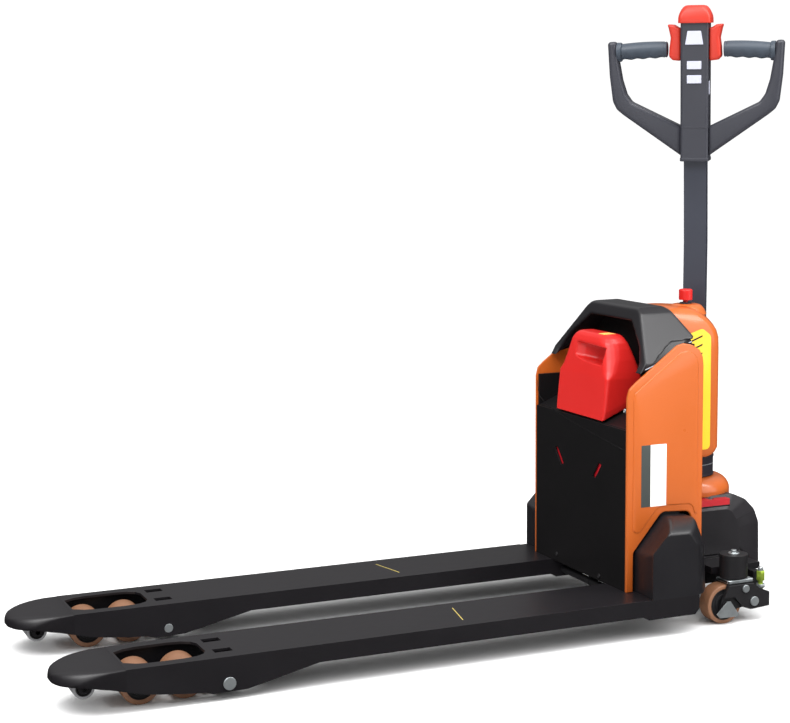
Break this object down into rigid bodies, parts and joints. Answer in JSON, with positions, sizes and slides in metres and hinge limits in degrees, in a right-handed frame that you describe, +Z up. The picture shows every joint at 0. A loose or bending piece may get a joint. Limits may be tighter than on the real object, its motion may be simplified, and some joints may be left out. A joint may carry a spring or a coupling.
{
  "type": "electric pallet jack",
  "caption": "Walk-behind electric pallet jack with two forks, orange body, plug-in battery, covered drive wheel, castors and an upright loop-handled tiller.",
  "frame": {"origin": "on the floor, under the middle of the truck's bounding box", "axes": "+X from the fork tips to the operator, +Y to the operator's right when facing the forks, +Z up"},
  "size_m": [1.6768, 0.566, 1.3084],
  "materials": {
    "chassis_black": "satin powder coat",
    "body_orange": "gloss enamel",
    "cover_black": "fine moulded texture",
    "grip_rubber": "soft matt",
    "signal_red": "moulded, slight gloss",
    "red_paint": "satin",
    "key_white": "satin",
    "tiller_slate": "satin powder coat",
    "cylinder_black": "satin",
    "zinc": "zinc plated",
    "yellow_zinc": "yellow zinc plated",
    "linkage_steel": "satin",
    "wheel_polyurethane": "cast polyurethane, slightly glossy",
    "drive_rubber": "matt",
    "hub_grey": "cast"
  },
  "bodies": {
    "chassis": {"fork_left": "chassis_black", "fork_right": "chassis_black", "fork_pins": "zinc", "front_plate": "chassis_black", "frame_box": "chassis_black", "rear_panels": "cover_black", "side_panel_left": "body_orange", "side_panel_right": "body_orange", "heel_cover_left": "cover_black", "heel_cover_right": "cover_black", "battery_tray": "chassis_black", "top_cover": "cover_black", "hydraulic_pack": "red_paint", "controller_box": "chassis_black", "column_cover": "body_orange", "estop_collar": "cover_black", "lift_bracket": "chassis_black", "lift_ram": "zinc"},
    "estop": {"estop_button": "signal_red"},
    "battery": {"battery_case": "signal_red"},
    "rocker": {"rocker_shaft": "linkage_steel"},
    "base": {"base_frame": "chassis_black", "slewing_flange": "red_paint", "drive_hood": "cover_black", "castor_bracket_left": "chassis_black", "castor_bracket_right": "chassis_black", "castor_bolts": "zinc", "level_bolts": "yellow_zinc"},
    "steering": {"steering_head": "body_orange", "tiller_pin": "zinc", "lift_cylinder": "cylinder_black", "drive_fork": "linkage_steel", "drive_axle": "zinc"},
    "drive_wheel": {"drive_tyre": "drive_rubber", "drive_hub": "hub_grey"},
    "tiller": {"tiller_tube": "tiller_slate", "tiller_head": "cover_black", "handle_loop": "cover_black", "handle_grips": "grip_rubber"},
    "throttle": {"throttle_wings": "signal_red"},
    "belly": {"belly_button": "signal_red"},
    "horn": {"horn_key": "key_white"},
    "raise": {"raise_key": "key_white"},
    "lower": {"lower_key": "key_white"},
    "entry_roller_left": {"entry_roller_left": "zinc"},
    "load_arm_left": {"load_arm_left": "linkage_steel"},
    "load_bogie_left": {"load_bogie_left": "linkage_steel"},
    "push_rod_left": {"push_rod_left": "linkage_steel"},
    "castor_arm_left": {"castor_arm_left": "zinc"},
    "castor_wheel_left": {"castor_wheel_left": "wheel_polyurethane"},
    "load_wheel_left_front": {"load_wheel_left_front": "wheel_polyurethane"},
    "load_wheel_left_rear": {"load_wheel_left_rear": "wheel_polyurethane"},
    "entry_roller_right": {"entry_roller_right": "zinc"},
    "load_arm_right": {"load_arm_right": "linkage_steel"},
    "load_bogie_right": {"load_bogie_right": "linkage_steel"},
    "push_rod_right": {"push_rod_right": "linkage_steel"},
    "castor_arm_right": {"castor_arm_right": "zinc"},
    "castor_wheel_right": {"castor_wheel_right": "wheel_polyurethane"},
    "load_wheel_right_front": {"load_wheel_right_front": "wheel_polyurethane"},
    "load_wheel_right_rear": {"load_wheel_right_rear": "wheel_polyurethane"}
  },
  "joints": [
    {"name": "lift", "type": "slide", "parent": "chassis", "child": "base", "axis": [0, 0, -1], "range_m": [0, 0.105]},
    {"name": "steer", "type": "hinge", "parent": "base", "child": "steering", "pos_m": [0.6096, 0, 0.23], "axis": [0, 0, 1], "range_deg": [-140, 40]},
    {"name": "drive_spin", "type": "hinge", "parent": "steering", "child": "drive_wheel", "pos_m": [0.6096, 0, 0.105], "axis": [-0.766, 0.6428, 0], "continuous": true},
    {"name": "tiller_tilt", "type": "hinge", "parent": "steering", "child": "tiller", "pos_m": [0.68802, 0.09346, 0.262], "axis": [-0.766, 0.6428, 0], "range_deg": [0, 75], "stiffness_Nm_per_rad": 70, "springref_deg": -17.19},
    {"name": "throttle", "type": "hinge", "parent": "tiller", "child": "throttle", "pos_m": [0.67542, 0.07844, 1.22542], "axis": [-0.766, 0.6428, 0], "range_deg": [-25, 25], "stiffness_Nm_per_rad": 1.5},
    {"name": "belly_press", "type": "slide", "parent": "tiller", "child": "belly", "axis": [0.0426, 0.0508, -0.9978], "range_m": [0, 0.004], "stiffness_N_per_m": 1500, "springref_m": -0.004},
    {"name": "horn_press", "type": "slide", "parent": "tiller", "child": "horn", "axis": [0.6414, 0.7644, 0.0663], "range_m": [0, 0.002], "stiffness_N_per_m": 800, "springref_m": -0.002},
    {"name": "raise_press", "type": "slide", "parent": "tiller", "child": "raise", "axis": [0.6414, 0.7644, 0.0663], "range_m": [0, 0.002], "stiffness_N_per_m": 800, "springref_m": -0.002},
    {"name": "lower_press", "type": "slide", "parent": "tiller", "child": "lower", "axis": [0.6414, 0.7644, 0.0663], "range_m": [0, 0.002], "stiffness_N_per_m": 800, "springref_m": -0.002},
    {"name": "estop_press", "type": "slide", "parent": "chassis", "child": "estop", "axis": [0, 0, -1], "range_m": [0, 0.005]},
    {"name": "battery_pull", "type": "slide", "parent": "chassis", "child": "battery", "axis": [-0.866, 0, 0.5], "range_m": [0, 0.22]},
    {"name": "rocker_turn", "type": "hinge", "parent": "chassis", "child": "rocker", "pos_m": [0.3716, 0, 0.056], "axis": [0, 1, 0], "range_deg": [0, 70.2]},
    {"name": "entry_roller_spin_left", "type": "hinge", "parent": "chassis", "child": "entry_roller_left", "pos_m": [-0.7834, -0.2, 0.043], "axis": [0, 1, 0], "continuous": true},
    {"name": "load_arm_swing_left", "type": "hinge", "parent": "chassis", "child": "load_arm_left", "pos_m": [-0.5314, -0.2, 0.032], "axis": [0, -1, 0], "range_deg": [0, 70.22]},
    {"name": "load_bogie_level_left", "type": "hinge", "parent": "load_arm_left", "child": "load_bogie_left", "pos_m": [-0.6404, -0.2, 0.036], "axis": [0, 1, 0], "range_deg": [0, 70.22]},
    {"name": "push_rod_turn_left", "type": "hinge", "parent": "rocker", "child": "push_rod_left", "pos_m": [0.38535, -0.2, 0.03633], "axis": [0, -1, 0], "range_deg": [0, 70.2]},
    {"name": "castor_swing_left", "type": "hinge", "parent": "base", "child": "castor_arm_left", "pos_m": [0.6236, -0.225, 0.044], "axis": [0, -1, 0], "range_deg": [0, 4], "stiffness_Nm_per_rad": 60, "springref_deg": 5.73},
    {"name": "castor_spin_left", "type": "hinge", "parent": "castor_arm_left", "child": "castor_wheel_left", "pos_m": [0.5576, -0.225, 0.041], "axis": [0, 1, 0], "continuous": true},
    {"name": "spin_left_front", "type": "hinge", "parent": "load_bogie_left", "child": "load_wheel_left_front", "pos_m": [-0.6824, -0.2, 0.036], "axis": [0, 1, 0], "continuous": true},
    {"name": "spin_left_rear", "type": "hinge", "parent": "load_bogie_left", "child": "load_wheel_left_rear", "pos_m": [-0.5984, -0.2, 0.036], "axis": [0, 1, 0], "continuous": true},
    {"name": "entry_roller_spin_right", "type": "hinge", "parent": "chassis", "child": "entry_roller_right", "pos_m": [-0.7834, 0.2, 0.043], "axis": [0, 1, 0], "continuous": true},
    {"name": "load_arm_swing_right", "type": "hinge", "parent": "chassis", "child": "load_arm_right", "pos_m": [-0.5314, 0.2, 0.032], "axis": [0, -1, 0], "range_deg": [0, 70.22]},
    {"name": "load_bogie_level_right", "type": "hinge", "parent": "load_arm_right", "child": "load_bogie_right", "pos_m": [-0.6404, 0.2, 0.036], "axis": [0, 1, 0], "range_deg": [0, 70.22]},
    {"name": "push_rod_turn_right", "type": "hinge", "parent": "rocker", "child": "push_rod_right", "pos_m": [0.38535, 0.2, 0.03633], "axis": [0, -1, 0], "range_deg": [0, 70.2]},
    {"name": "castor_swing_right", "type": "hinge", "parent": "base", "child": "castor_arm_right", "pos_m": [0.6236, 0.225, 0.044], "axis": [0, -1, 0], "range_deg": [0, 4], "stiffness_Nm_per_rad": 60, "springref_deg": 5.73},
    {"name": "castor_spin_right", "type": "hinge", "parent": "castor_arm_right", "child": "castor_wheel_right", "pos_m": [0.5576, 0.225, 0.041], "axis": [0, 1, 0], "continuous": true},
    {"name": "spin_right_front", "type": "hinge", "parent": "load_bogie_right", "child": "load_wheel_right_front", "pos_m": [-0.6824, 0.2, 0.036], "axis": [0, 1, 0], "continuous": true},
    {"name": "spin_right_rear", "type": "hinge", "parent": "load_bogie_right", "child": "load_wheel_right_rear", "pos_m": [-0.5984, 0.2, 0.036], "axis": [0, 1, 0], "continuous": true}
  ],
  "couplings": [
    {"joint": "rocker_turn", "follows": "lift", "rad_per_m": 11.619},
    {"joint": "load_arm_swing_left", "follows": "lift", "rad_per_m": 11.622},
    {"joint": "load_bogie_level_left", "follows": "lift", "rad_per_m": 11.622},
    {"joint": "push_rod_turn_left", "follows": "lift", "rad_per_m": 11.619},
    {"joint": "load_arm_swing_right", "follows": "lift", "rad_per_m": 11.622},
    {"joint": "load_bogie_level_right", "follows": "lift", "rad_per_m": 11.622},
    {"joint": "push_rod_turn_right", "follows": "lift", "rad_per_m": 11.619}
  ]
}
